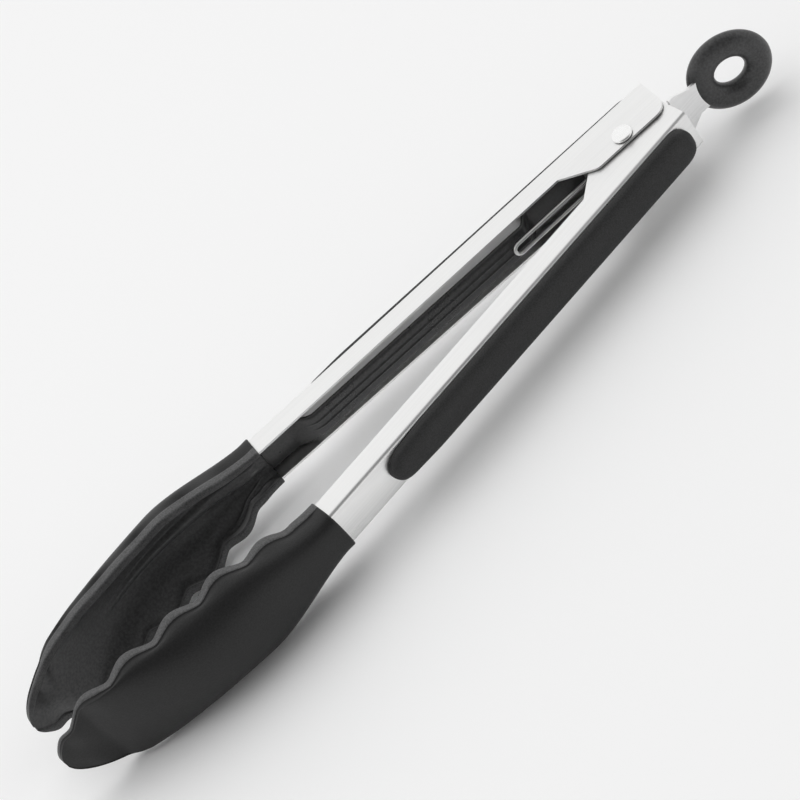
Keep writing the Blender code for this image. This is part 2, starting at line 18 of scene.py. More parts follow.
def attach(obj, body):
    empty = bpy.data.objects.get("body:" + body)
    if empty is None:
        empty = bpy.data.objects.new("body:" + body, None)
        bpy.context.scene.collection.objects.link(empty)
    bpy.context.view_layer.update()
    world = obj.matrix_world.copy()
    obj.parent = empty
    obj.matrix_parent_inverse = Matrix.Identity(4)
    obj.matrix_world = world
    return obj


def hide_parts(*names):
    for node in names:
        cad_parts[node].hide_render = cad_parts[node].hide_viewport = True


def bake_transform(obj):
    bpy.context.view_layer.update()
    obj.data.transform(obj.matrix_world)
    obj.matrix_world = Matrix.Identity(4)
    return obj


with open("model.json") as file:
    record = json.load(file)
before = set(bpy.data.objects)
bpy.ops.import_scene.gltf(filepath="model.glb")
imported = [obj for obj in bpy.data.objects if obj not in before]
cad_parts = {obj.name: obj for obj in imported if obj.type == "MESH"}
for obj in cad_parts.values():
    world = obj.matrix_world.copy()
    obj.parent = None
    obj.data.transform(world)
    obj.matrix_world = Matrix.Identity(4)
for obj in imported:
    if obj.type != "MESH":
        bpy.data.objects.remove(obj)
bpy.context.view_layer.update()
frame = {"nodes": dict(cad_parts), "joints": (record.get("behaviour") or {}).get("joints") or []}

MM = 0.001
JOINTS = {joint["name"]: joint for joint in frame["joints"]}
PIN = Vector(JOINTS["arm_hinge"]["pos_m"])
SLIDE = JOINTS["tab_slide"]["axis"]
HALF_ANGLE = math.atan2(SLIDE[1], SLIDE[0])
BODIES = {1.0: "outer_arm_body", -1.0: "inner_arm_body"}
PREFIX = {1.0: "outer", -1.0: "inner"}

# Camera
AZIMUTH = -6.03
ELEVATION = 43.77
ROLL = 41.17
CAMERA_DISTANCE = 0.994
CAMERA_LENS = 132.6
CAMERA_TARGET = Vector((-0.0042, 0.0046, 0.0122))
CAMERA_SENSOR = 36.0
CAMERA_REACH = 20.0

# Surround, floor and light: the surround dims from one cosine to the other round the dim patch
DIM_PATCH = Vector((-0.1, -0.72, 0.69))
DIM_START = 0.45
DIM_END = 0.92
SURROUND_STRENGTH = 0.98
DIM_STRENGTH = 0.20
FLOOR_HALF_SIZE = 9.0
FLOOR_SHADE = 0.93
FLOOR_ROUGHNESS = 0.9
TOP_LIGHT_PLACE = (-0.2, 0.3, 1.8)
TOP_LIGHT_SIZE = (2.2, 1.8)
TOP_LIGHT_POWER = 13.0

# Materials: a black's shades are shares of its middle shade, and a bump is its strength and its
# depth in metres
GRAIN_LOW = 0.75
GRAIN_HIGH = 1.45
GRAIN_BLUE = 1.02
GRAIN_BUMP = 0.5
CLOUD_SCALE = 45.0
CLOUD_BUMP = (0.10, 0.0003)
DUST_SHADE = 1.7
DUST_SHARE = 0.30
# Lightened convex edges of the blacks: partly rubbed wear, partly painted highlight
RUBBED_AND_HIGHLIGHT_SHADE = 2.6
RUBBED_AND_HIGHLIGHT_LIFT = 0.01
SMOOTHER = 0.05
ROUGHER = 0.06
STEEL_EDGES = (0.52, 0.60)
STEEL_EDGE_SHADE = (0.93, 0.93, 0.92)
MARKS_SCALE = 60.0
MARKS_ROUGHNESS = (-0.03, 0.04)
MARKS_BUMP = (0.04, 0.0002)
BRUSH_BUMP = (0.18, 0.00002)

# Sheet parts taken from the frame
SAME_POINT = 0.002
FLAT_ANGLE = math.radians(1.0)
CUT_EDGE_ANGLE = math.radians(50.0)
ARM_EDGE_ROUND = 0.22
TAB_EDGE_ROUND = 0.25

# Arms, as in the frame: the web's outer face, the sheet, the clearance and the sleeve's start
WEB = 13.8
SHEET = 0.9
GAP = 0.3
JUNCTION = -162.0

# Spring
WIRE_RADIUS = 0.65
COIL_RADIUS = 3.55
COIL_INNER_Z = 2.2
COIL_OUTER_Z = 6.4
COIL_WHOLE_TURNS = 2
COIL_STEPS = 96
WIRE_SIDES = 14
OUTER_LEG_LENGTH = 50.0
INNER_LEG_LENGTH = 30.0
OUTER_LEG_STEPS = 16
INNER_LEG_STEPS = 10
HAIRPIN_STEPS = 8
FOOT_GAP = 0.5
WIRE_END = 0.75

# Rivet
SHANK_RADIUS = 2.5
RIVET_HEAD_HEIGHT = 1.2
RIVET_SHOULDER = 0.25
RIVET_CHAMFER = 0.1
RIVET_TURNS = 72
DOME_STEPS = 12
DOME_OUT_POWER = 0.8
DOME_UP_POWER = 0.75
SMALLEST_RING = 0.02

# Grip pads
PAD_STATIONS = 120
PAD_POINTS = 40
PAD_FIRST = 0.2
PAD_LAST = 0.9995
PAD_SPACING = 0.62
PAD_ROUNDNESS = 0.66
PAD_END_POWER = 2.2
PAD_SHOULDER = 1.15
PAD_SHOULDER_POWER = 0.7
PAD_LIP = 0.12
PAD_FRONT_INSET = 1.8
PAD_NARROWING = 0.35
PAD_TAPER = 0.16
PAD_TAPER_LENGTH = 22.0
DIMPLE_DEPTH = 0.55
DIMPLE_PLACE = 30.0
DIMPLE_SPREAD = 13.0
DIMPLE_WIDTH = 0.55

# Heads
HEAD_LENGTH = 116.3
RIM_START = 4.3
RIM_SLOPE = 0.024
RIM_CURVE = 0.00109
SLEEVE_HALF_WIDTH = 9.5
HEAD_HALF_WIDTH = 18.4
HEAD_BACK = 16.45
FLARE_RISE = (1.0, 42.0)
NOSE_START = 78.5
NOSE_POWER = 2.0
DROP_START = 39.0
DROP_CURVE = 0.0060
TIP_DROP_START = 98.0
TIP_DROP_CURVE = 0.0159
THINNEST_HEAD = 2.8
SLEEVE_POWER = 3.24
BOWL_POWER = 1.85
POWER_RISE = (-12.0, 72.0)
RIM_THICKNESS = 3.4
RIM_CORNER = 0.75
INNER_CORNER_POINTS = 5
OUTER_CORNER_POINTS = 7
SLEEVE_WALL_SHARE = 0.72
WALL_RISE = (0.0, 18.0)
# The rim is thinner where the head is narrower than this half width
FULL_HALF_WIDTH = 9.0
BACK_THICKNESS = 3.4
BOWL_SHARE = 0.3
BOWL_EDGE = 0.7
BOWL_FALL = (HEAD_LENGTH - 3.0, 14.0)
SHALLOWEST_BOWL = 0.8
ROUNDEST_BOWL = 1.75
FLOOR_TUCK = 0.15
FLOOR_RISE = (1.0, 26.0)
# The band's width, and the step under it: distance past the band and share of the step's depth
BAND = 3.3
BAND_STEP = 0.65
BAND_PROFILE = ((-0.15, 0.12), (0.1, 0.5), (0.3, 1.0), (0.8, 1.05), (1.4, 0.85))
BAND_FULL_DEPTH = 6.0
BAND_EDGE = 0.5
BAND_STEPS = 4
STEP_RISE = (-1.0, 6.0)
SHELL_START = 1.9
SHELL_INSET = 0.75
THINNEST_SHELL = 0.2
SCALLOP_PITCH = 19.2
SCALLOP_FIRST = 20.2
SCALLOP_DEPTH = 1.05
SCALLOP_SHARPNESS = 0.75
SCALLOP_REACH = 7.5
SCALLOP_PLATEAU = 1.25
SCALLOP_SIDE = 2.0
SCALLOP_NARROWEST = 6.0
SCALLOP_RISE = (9.0, 8.0)
SCALLOP_FALL = (HEAD_LENGTH - 2.0, 6.0)
BOWL_POINTS = 25
BAND_POINTS = 18
SHELL_POINTS = 30
LINING_INDEX = 1
BAND_INDEX = 2
HEAD_STATIONS = 120
NOSE_STATIONS = 30
NOSE_SHARE = 0.14
TIP_INSET = 0.12
# The sleeve's first section is drawn in towards this level, to round the sleeve's end
TUCK_MIDDLE = 9.0
TUCK = 0.25
TUCK_LENGTH = 0.25
TUCK_WIDTH = 0.97
RIB_HALF_WIDTH = 2.7
RIB_LENGTH = 92.0
RIB_HEIGHT = 1.15
RIB_RISE = (0.0, 8.0)
RIB_FALL = (88.0, 50.0)
RIB_GROOVE = 0.40
RIB_FLANK = 0.55
GROOVE_OFFSET = 1.0
GROOVE_SPREAD = 0.45
BEAD_HEIGHT = 0.85
BEAD_SPREAD = 0.55
BEAD_LOW = 2.6
BEAD_HIGH = 5.0
BEAD_LEAN = 1.6
BEAD_LEAN_RISE = (0.0, 26.0)
BEAD_RISE = (1.0, 5.0)
BEAD_FALL = (29.0, 10.0)

# Core bar in each arm
TAIL_REAR = -17.0
TAIL_END = -40.0
TAIL_TOP = 9.6
BAR_REAR = -46.0
BAR_HALF_WIDTH = 5.2
BAR_TOP = 3.9
BAR_THICKNESS = 1.6
BAR_UNDERSIDE = 0.97
BAR_EDGE = 0.45
BAR_EDGE_POWER = 14
BAR_STEPS = 60
TAIL_NARROWEST = 0.86
TAIL_ROUND = 1.2
TONGUE_HALF_WIDTH = 7.0
TONGUE_TOP = 10.0
TONGUE_THICKNESS = 2.4
TONGUE_DISH = 0.25
TONGUE_START = -139.0
TONGUE_END = -152.0
TONGUE_WIDTH_FALL = (TONGUE_START - 2.0, 7.0)
RIDGE_Z = 1.5
RIDGE_HEIGHT = 0.5
RIDGE_HALF_WIDTH = 0.33
RIDGE_FALL = (TONGUE_START + 2.0, 8.0)

# Ring on the pull tab
TAB_V = 5.1
TAB_BEND = 25.5
RING_U = 41.7
NECK_TILT = math.radians(10.0)
RUBBER_TILT = math.radians(11.0)
RING_RADIUS = 10.6
RING_HALF_TUBE = 4.9
RING_HALF_HEIGHT = 3.6
RING_STATIONS = 128
RING_SIDES = 40
SEAM_HEIGHT = 0.006
SEAM_SPREAD = 0.09


# ---------------------------------------------------------------- camera, stage and light

def make_camera():
    azimuth, elevation, roll = (math.radians(a) for a in (AZIMUTH, ELEVATION, ROLL))
    forward = Vector((-math.sin(azimuth) * math.cos(elevation),
                      math.cos(azimuth) * math.cos(elevation), -math.sin(elevation)))
    level = Vector((math.cos(azimuth), math.sin(azimuth), 0.0))
    right = level * math.cos(roll) + forward.cross(level) * math.sin(roll)
    up = right.cross(forward)
    camera = bpy.data.objects.new("camera", bpy.data.cameras.new("camera"))
    bpy.context.scene.collection.objects.link(camera)
    camera.matrix_world = Matrix.Translation(CAMERA_TARGET - forward * CAMERA_DISTANCE) @ Matrix(
        (right, up, -forward)).transposed().to_4x4()
    camera.data.lens = CAMERA_LENS
    camera.data.sensor_width = CAMERA_SENSOR
    camera.data.clip_end = CAMERA_REACH
    bpy.context.scene.camera = camera


def area_light(name, place, target, size, power):
    """Soft light that shades the pieces but isn't mirrored in the steel."""
    light = bpy.data.objects.new(name, bpy.data.lights.new(name, "AREA"))
    light.data.shape = "RECTANGLE"
    light.data.size, light.data.size_y = size
    light.data.energy = power
    light.visible_glossy = False
    light.location = place
    light.rotation_euler = (Vector(target) - Vector(place)).to_track_quat("-Z", "Y").to_euler()
    bpy.context.scene.collection.objects.link(light)


def make_world():
    """White surround with one dim patch in front and above, as behind a photographer."""
    world = bpy.data.worlds.new("studio")
    bpy.context.scene.world = world
    world.use_nodes = True
    tree = world.node_tree
    coordinates = tree.nodes.new("ShaderNodeTexCoord")
    dot = tree.nodes.new("ShaderNodeVectorMath")
    dot.operation = "DOT_PRODUCT"
    dot.inputs[1].default_value = DIM_PATCH.normalized()
    tree.links.new(coordinates.outputs["Generated"], dot.inputs[0])
    ramp = tree.nodes.new("ShaderNodeMapRange")
    ramp.interpolation_type = "SMOOTHSTEP"
    ramp.inputs["From Min"].default_value = DIM_START
    ramp.inputs["From Max"].default_value = DIM_END
    ramp.inputs["To Min"].default_value = SURROUND_STRENGTH
    ramp.inputs["To Max"].default_value = DIM_STRENGTH
    tree.links.new(dot.outputs["Value"], ramp.inputs["Value"])
    background = tree.nodes["Background"]
    background.inputs["Color"].default_value = (1.0, 1.0, 1.0, 1.0)
    tree.links.new(ramp.outputs["Result"], background.inputs["Strength"])


def make_stage():
    bpy.context.scene.view_settings.view_transform = "Standard"
    make_world()
    bm = bmesh.new()
    bmesh.ops.create_grid(bm, x_segments=2, y_segments=2, size=FLOOR_HALF_SIZE)
    mesh = bpy.data.meshes.new("floor")
    bm.to_mesh(mesh)
    bm.free()
    floor = bpy.data.objects.new("floor", mesh)
    bpy.context.scene.collection.objects.link(floor)
    shader, _ = new_material("floor")
    shader.inputs["Base Color"].default_value = (FLOOR_SHADE, FLOOR_SHADE, FLOOR_SHADE, 1.0)
    shader.inputs["Roughness"].default_value = FLOOR_ROUGHNESS
    mesh.materials.append(bpy.data.materials["floor"])
    area_light("top_light", TOP_LIGHT_PLACE, (0.0, 0.0, 0.0), TOP_LIGHT_SIZE, TOP_LIGHT_POWER)


# ---------------------------------------------------------------- materials

def new_material(name):
    material = bpy.data.materials.new(name)
    material.use_nodes = True
    return material.node_tree.nodes["Principled BSDF"], material.node_tree


def noise(tree, scale, detail=3.0, grain=(1.0, 1.0, 1.0), turn=0.0):
    """Noise over the piece's own coordinates, in grains of a size, turned about Z."""
    coordinates = tree.nodes.new("ShaderNodeTexCoord")
    mapping = tree.nodes.new("ShaderNodeMapping")
    mapping.vector_type = "TEXTURE"
    mapping.inputs["Rotation"].default_value = (0.0, 0.0, turn)
    mapping.inputs["Scale"].default_value = grain
    texture = tree.nodes.new("ShaderNodeTexNoise")
    texture.inputs["Scale"].default_value = scale
    texture.inputs["Detail"].default_value = detail
    tree.links.new(coordinates.outputs["Object"], mapping.inputs["Vector"])
    tree.links.new(mapping.outputs["Vector"], texture.inputs["Vector"])
    return texture.outputs["Fac"]


def spread(tree, value, low, high, start=0.3, stop=0.7):
    """Map a noise value to a range of numbers."""
    node = tree.nodes.new("ShaderNodeMapRange")
    node.inputs["From Min"].default_value = start
    node.inputs["From Max"].default_value = stop
    node.inputs["To Min"].default_value = low
    node.inputs["To Max"].default_value = high
    tree.links.new(value, node.inputs["Value"])
    return node.outputs["Result"]


def mix(tree, factor, first, second):
    """Mix two colours by a factor. Each is three numbers or a node's output."""
    node = tree.nodes.new("ShaderNodeMix")
    node.data_type = "RGBA"
    tree.links.new(factor, node.inputs["Factor"])
    for socket, colour in ((node.inputs[6], first), (node.inputs[7], second)):
        if isinstance(colour, tuple):
            socket.default_value = (*colour, 1.0)
        else:
            tree.links.new(colour, socket)
    return node.outputs[2]


def bump(tree, shader, layers):
    """Chain of bumps: (height, strength, distance in metres)."""
    normal = None
    for height, strength, distance in layers:
        node = tree.nodes.new("ShaderNodeBump")
        node.inputs["Strength"].default_value = strength
        node.inputs["Distance"].default_value = distance
        tree.links.new(height, node.inputs["Height"])
        if normal is not None:
            tree.links.new(normal, node.inputs["Normal"])
        normal = node.outputs["Normal"]
    tree.links.new(normal, shader.inputs["Normal"])


def edge_mask(tree, start, stop):
    """Rises from 0 to 1 on a mesh's convex edges."""
    geometry = tree.nodes.new("ShaderNodeNewGeometry")
    return spread(tree, geometry.outputs["Pointiness"], 0.0, 1.0, start, stop)


def steel_material(name, light, dark, roughness, turn=0.0, brush=(0.055, 0.0006, 0.0006)):
    """Satin sheet brushed along the piece, with faint handling marks and brighter edges.

    light and dark are the brushing's two shades, turn its direction about Z, and brush the size
    of one stroke in metres.
    """
    shader, tree = new_material(name)
    grain = noise(tree, 1.0, 2.0, brush, turn)
    marks = noise(tree, MARKS_SCALE, 4.0)
    base = mix(tree, spread(tree, grain, 0.0, 1.0), dark, light)
    base = mix(tree, edge_mask(tree, *STEEL_EDGES), base, STEEL_EDGE_SHADE)
    tree.links.new(base, shader.inputs["Base Color"])
    rough = tree.nodes.new("ShaderNodeMath")
    rough.operation = "ADD"
    tree.links.new(spread(tree, grain, roughness - SMOOTHER, roughness + ROUGHER),
                   rough.inputs[0])
    tree.links.new(spread(tree, marks, *MARKS_ROUGHNESS), rough.inputs[1])
    tree.links.new(rough.outputs[0], shader.inputs["Roughness"])
    shader.inputs["Metallic"].default_value = 1.0
    bump(tree, shader, [(grain, *BRUSH_BUMP), (marks, *MARKS_BUMP)])
    return bpy.data.materials[name]


def black_material(name, shade, roughness, grain_size, grain_depth, specular=0.4,
                   edges=(0.53, 0.66)):
    """Moulded black rubber or nylon: pebbled grain, uneven shade, and lightened edges,
    partly rubbed wear and partly painted highlight.

    grain_size and grain_depth are in metres, and edges is the range of pointiness over which an
    edge is lightened, as rubbed wear and as a painted highlight.
    """
    shader, tree = new_material(name)
    grain = noise(tree, 1.0 / grain_size, 2.0)
    cloud = noise(tree, CLOUD_SCALE, 4.0)
    low = shade * GRAIN_LOW
    high = shade * GRAIN_HIGH
    base = mix(tree, spread(tree, grain, 0.0, 1.0, 0.35, 0.65),
               (low, low, low), (high, high, high * GRAIN_BLUE))
    dust = shade * DUST_SHADE
    base = mix(tree, spread(tree, cloud, 0.0, DUST_SHARE, 0.5, 0.75), base, (dust, dust, dust))
    # Lightened convex edges: partly rubbed wear, partly a painted highlight on rims and ridges
    rub_and_highlight = shade * RUBBED_AND_HIGHLIGHT_SHADE + RUBBED_AND_HIGHLIGHT_LIFT
    base = mix(tree, edge_mask(tree, *edges), base, (rub_and_highlight, rub_and_highlight, rub_and_highlight))
    tree.links.new(base, shader.inputs["Base Color"])
    tree.links.new(spread(tree, cloud, roughness - SMOOTHER, roughness + ROUGHER),
                   shader.inputs["Roughness"])
    shader.inputs["Specular IOR Level"].default_value = specular
    bump(tree, shader, [(grain, GRAIN_BUMP, grain_depth), (cloud, *CLOUD_BUMP)])
    return bpy.data.materials[name]


# ---------------------------------------------------------------- mesh helpers

def smoothstep(x):
    x = min(max(x, 0.0), 1.0)
    return x * x * (3.0 - 2.0 * x)


def rise(x, start, length):
    """Smooth step from 0 to 1 that begins at start."""
    return smoothstep((x - start) / length)


def fall(x, end, length):
    """Smooth step from 1 to 0 that is over at end."""
    return smoothstep((end - x) / length)


def between(a, b, k):
    return a + (b - a) * k


def arm_space(side):
    return Matrix.Translation(PIN) @ Matrix.Rotation(-side * HALF_ANGLE, 4, "Z")


def local_box(node, side):
    """Extents of a CAD node in an arm's space, in millimetres: (u, v, z) lowest and highest."""
    inverse = arm_space(side).inverted()
    points = [inverse @ vertex.co / MM for vertex in frame["nodes"][node].data.vertices]
    points = [(p.x, side * p.y, p.z) for p in points]
    return [(min(axis), max(axis)) for axis in zip(*points)]


def add_piece(name, bm, side, material, slot, body, *nodes, sharp=40.0):
    """Make a piece of a bmesh drawn in an arm's space in millimetres, and give it its place."""
    place = arm_space(side) @ Matrix.Scale(MM, 4)
    bmesh.ops.transform(bm, matrix=place, verts=bm.verts)
    bmesh.ops.recalc_face_normals(bm, faces=bm.faces)
    mesh = bpy.data.meshes.new(name)
    bm.to_mesh(mesh)
    bm.free()
    mesh.materials.append(material)
    mesh.shade_smooth()
    mesh.set_sharp_from_angle(angle=math.radians(sharp))
    piece = bpy.data.objects.new(name, mesh)
    bpy.context.scene.collection.objects.link(piece)
    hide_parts(*nodes)
    if body is not None:
        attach(piece, body)
    return piece


def loft(rings, side=1.0, bm=None):
    """Skin closed rings of (u, v, z) points and cap both ends."""
    bm = bm or bmesh.new()
    rows = [[bm.verts.new((u, side * v, z)) for u, v, z in ring] for ring in rings]
    for row, following in zip(rows, rows[1:]):
        for i in range(len(row)):
            j = (i + 1) % len(row)
            bm.faces.new((row[i], row[j], following[j], following[i]))
    for row in (rows[0], rows[-1]):
        middle = bm.verts.new(sum((vert.co for vert in row), Vector()) / len(row))
        for i in range(len(row)):
            bm.faces.new((row[i], row[(i + 1) % len(row)], middle))
    return bm


def refined_copy(name, node, side, material, slot, body, width):
    """A CAD sheet part with its cut edges rounded."""
    bm = bmesh.new()
    bm.from_mesh(frame["nodes"][node].data)
    bmesh.ops.transform(bm, matrix=arm_space(side).inverted(), verts=bm.verts)
    bmesh.ops.scale(bm, vec=(1.0 / MM,) * 3, verts=bm.verts)
    bmesh.ops.remove_doubles(bm, verts=bm.verts, dist=SAME_POINT)
    bmesh.ops.dissolve_limit(bm, angle_limit=FLAT_ANGLE, verts=bm.verts, edges=bm.edges)
    piece = add_piece(name, bm, side, material, slot, body, node, sharp=30.0)
    bevel = piece.modifiers.new("rounded_edges", "BEVEL")
    bevel.width = width * MM
    bevel.segments = 2
    bevel.limit_method = "ANGLE"
    bevel.angle_limit = CUT_EDGE_ANGLE
    bevel.harden_normals = True
    return piece


# ---------------------------------------------------------------- rivet and spring

def pivot_rivet(material):
    """Turned rivet: domed head with a soft shoulder on each side."""
    (_, _), (_, radius), (_, top) = local_box("pivot_rivet", 1.0)
    under = top - RIVET_HEAD_HEIGHT
    dome = top - under - RIVET_SHOULDER
    head = [(0.0, top)]
    for k in range(1, DOME_STEPS + 1):
        angle = math.radians(90.0 * k / DOME_STEPS)
        head.append((radius * math.sin(angle) ** DOME_OUT_POWER,
                     under + RIVET_SHOULDER + dome * math.cos(angle) ** DOME_UP_POWER))
    head += [(radius, under + RIVET_CHAMFER), (radius - RIVET_CHAMFER, under),
             (SHANK_RADIUS, under)]
    profile = head + [(r, -z) for r, z in reversed(head)]
    turns = [2.0 * math.pi * i / RIVET_TURNS for i in range(RIVET_TURNS)]
    rings = []
    for r, z in profile:
        size = max(r, SMALLEST_RING)
        rings.append([(size * math.cos(turn), size * math.sin(turn), z) for turn in turns])
    add_piece("rivet", loft(rings), 1.0, material, "rivet_steel", BODIES[1.0], "pivot_rivet")


def pin_point(side, u, v, z):
    """A point of an arm's space, measured from the pin along the frame's own X, Y and Z."""
    cos, sin = math.cos(HALF_ANGLE), math.sin(HALF_ANGLE)
    return Vector((u * cos + v * sin, side * (v * cos - u * sin), z))


def spring_points():
    """Wire from the foot on the inner arm, round the coil, to the hairpin and back."""
    foot_level = WEB - SHEET - WIRE_RADIUS - FOOT_GAP
    foot = pin_point(-1.0, -INNER_LEG_LENGTH, foot_level, COIL_OUTER_Z)
    nose_level = BAR_TOP - RIDGE_HEIGHT - WIRE_RADIUS - GAP
    nose = pin_point(1.0, -OUTER_LEG_LENGTH, nose_level, COIL_INNER_Z)
    foot_angle = math.atan2(foot.y, foot.x) + math.acos(COIL_RADIUS / foot.xy.length)
    nose_angle = math.atan2(nose.y, nose.x) - math.acos(COIL_RADIUS / nose.xy.length)
    turn = (nose_angle - foot_angle) % (2.0 * math.pi) + 2.0 * math.pi * COIL_WHOLE_TURNS
    coil = []
    for k in range(COIL_STEPS + 1):
        angle = foot_angle + turn * k / COIL_STEPS
        coil.append(Vector((COIL_RADIUS * math.cos(angle), COIL_RADIUS * math.sin(angle),
                            between(COIL_OUTER_Z, COIL_INNER_Z, k / COIL_STEPS))))
    half = [foot.lerp(coil[0], k / INNER_LEG_STEPS) for k in range(INNER_LEG_STEPS)] + coil
    half += [coil[-1].lerp(nose, k / OUTER_LEG_STEPS) for k in range(1, OUTER_LEG_STEPS + 1)]
    for k in range(1, HAIRPIN_STEPS + 1):
        angle = math.radians(90.0 * k / HAIRPIN_STEPS)
        half.append(Vector((nose.x - COIL_INNER_Z * math.sin(angle), nose.y,
                            COIL_INNER_Z * math.cos(angle))))
    return half + [Vector((p.x, p.y, -p.z)) for p in reversed(half[:-1])]


def torsion_spring(material):
    """Round wire swept along the spring's path; its legs lie along the two arms."""
    points = spring_points()
    turns = [2.0 * math.pi * k / WIRE_SIDES for k in range(WIRE_SIDES)]
    rings = []
    across = Vector((0.0, 0.0, 1.0))
    for i, point in enumerate(points):
        along = (points[min(i + 1, len(points) - 1)] - points[max(i - 1, 0)]).normalized()
        across = (across - along * across.dot(along)).normalized()
        third = along.cross(across)
        end = WIRE_END if i in (0, len(points) - 1) else 1.0
        rings.append([point + (across * math.cos(turn) + third * math.sin(turn))
                      * WIRE_RADIUS * end for turn in turns])
    bm = loft([[tuple(p) for p in ring] for ring in rings])
    unturn = Matrix.Rotation(HALF_ANGLE, 3, "Z")
    bmesh.ops.rotate(bm, matrix=unturn, verts=bm.verts)
    spring = add_piece("spring_wire", bm, 1.0, material, "spring_wire", None, "torsion_spring")
    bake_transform(spring)


# ---------------------------------------------------------------- grip pads

def grip_pad(side, material):
    """Soft pad with round ends, a tapered front and a crowned back with a shallow thumb dimple."""
    node = PREFIX[side] + "_grip_pad"
    (front, rear), (base, top), (_, half_width) = local_box(node, side)
    front += PAD_FRONT_INSET
    middle, half_length = 0.5 * (front + rear), 0.5 * (rear - front)
    straight = half_length - half_width
    rings = []
    for k in range(PAD_STATIONS + 1):
        phase = math.pi * (k + PAD_FIRST) / (PAD_STATIONS + 2.0 * PAD_FIRST)
        ends = math.cos(phase)
        u = middle + math.copysign(half_length * abs(ends) ** PAD_SPACING, ends)
        over = min(max(abs(u - middle) - straight, 0.0) / half_width, PAD_LAST)
        fullness = math.sqrt(1.0 - over ** PAD_END_POWER)
        taper = 1.0 - PAD_TAPER * fall(u, front + PAD_TAPER_LENGTH, PAD_TAPER_LENGTH)
        half = between(half_width - PAD_NARROWING, half_width, (u - front) / (rear - front))
        half = half * fullness * taper
        swell = smoothstep(fullness * PAD_SHOULDER) ** PAD_SHOULDER_POWER
        height = (top - base) * between(PAD_LIP, 1.0, swell)
        dimple = DIMPLE_DEPTH * math.exp(-((u - front - DIMPLE_PLACE) / DIMPLE_SPREAD) ** 2)
        ring = []
        for i in range(PAD_POINTS + 1):
            angle = math.pi * i / PAD_POINTS
            across = math.copysign(abs(math.cos(angle)) ** PAD_ROUNDNESS, math.cos(angle))
            crown = math.sin(angle) ** PAD_ROUNDNESS
            dip = dimple * math.exp(-(across / DIMPLE_WIDTH) ** 2)
            ring.append((u, base + (height - dip) * crown, across * half))
        rings.append(ring)
    add_piece(PREFIX[side] + "_pad", loft(rings, side), side, material, "grip_rubber",
              BODIES[side], node, sharp=60.0)


# ---------------------------------------------------------------- heads

def rim_level(s):
    """Height of the head's rim over the pivot plane, s along from the arm's end."""
    return RIM_START - RIM_SLOPE * s - RIM_CURVE * s * s


def half_width(s):
    base = between(SLEEVE_HALF_WIDTH, HEAD_HALF_WIDTH, rise(s, *FLARE_RISE))
    nose = min(max((s - NOSE_START) / (HEAD_LENGTH - NOSE_START), 0.0), 1.0)
    return base * math.sqrt(max(1.0 - nose ** NOSE_POWER, 0.0))


def back_level(s):
    drop = DROP_CURVE * max(s - DROP_START, 0.0) ** 2
    drop += TIP_DROP_CURVE * max(s - TIP_DROP_START, 0.0) ** 2
    return max(HEAD_BACK - drop, rim_level(s) + THINNEST_HEAD)


def fullness_power(s):
    """Exponent of the bowl's section: nearly square on the arm, rounder towards the tip."""
    return between(SLEEVE_POWER, BOWL_POWER, rise(s, *POWER_RISE))


def scallop(s):
    """Wave of the rim, from -1 in a notch to 1 on a lobe, fading at both ends."""
    wave = 0.5 + 0.5 * math.cos(2.0 * math.pi * (s - SCALLOP_FIRST) / SCALLOP_PITCH)
    fade = rise(s, *SCALLOP_RISE) * fall(s, *SCALLOP_FALL)
    return (2.0 * wave ** SCALLOP_SHARPNESS - 1.0) * fade


def arc(centre_v, centre_z, radius, start, stop, count):
    """Points of a fillet, with angles from +z towards -v."""
    points = []
    for k in range(count):
        angle = math.radians(between(start, stop, k / (count - 1)))
        points.append((centre_v - radius * math.sin(angle), centre_z + radius * math.cos(angle)))
    return points


def bead(s, height):
    """Thickness of the two raised lines inside the rim, at a height over the rim."""
    fade = rise(s, *BEAD_RISE) * fall(s, *BEAD_FALL)
    lean = between(0.0, BEAD_LEAN, rise(s, *BEAD_LEAN_RISE))
    levels = (BEAD_LOW - 0.5 * lean, BEAD_HIGH - lean)
    waves = [math.exp(-((height - level) / BEAD_SPREAD) ** 2) for level in levels]
    return BEAD_HEIGHT * fade * sum(waves)


def bowl_section(s, rim, inner_half, floor, power, small):
    """Inside of the bowl, from the middle of its ribbed floor up to the rim."""
    bend = 2.0 / max(power, ROUNDEST_BOWL)
    edge = rim + BOWL_EDGE
    rib = RIB_HALF_WIDTH * max(1.0 - s / RIB_LENGTH, 0.0)
    rib_height = RIB_HEIGHT * rise(s, *RIB_RISE) * fall(s, *RIB_FALL)
    points = []
    for i in range(BOWL_POINTS + 1):
        angle = math.radians(90.0 * i / BOWL_POINTS)
        z = inner_half * math.sin(angle) ** bend
        v = edge + (floor - edge) * math.cos(angle) ** bend
        v -= rib_height * (1.0 - smoothstep((z - rib) / RIB_FLANK))
        groove = math.exp(-((z - rib - GROOVE_OFFSET) / GROOVE_SPREAD) ** 2)
        v += RIB_GROOVE * rib_height * groove
        points.append((v, z - bead(s, v - rim) * small))
    return points


def shell_section(start, half, back, power):
    """Outside of the bowl, from under the band round to the middle of the back."""
    points = []
    for i in range(1, SHELL_POINTS + 1):
        angle = math.radians(90.0 * i / SHELL_POINTS)
        points.append((start + (back - start) * math.sin(angle) ** (2.0 / power),
                       half * math.cos(angle) ** (2.0 / power)))
    return points


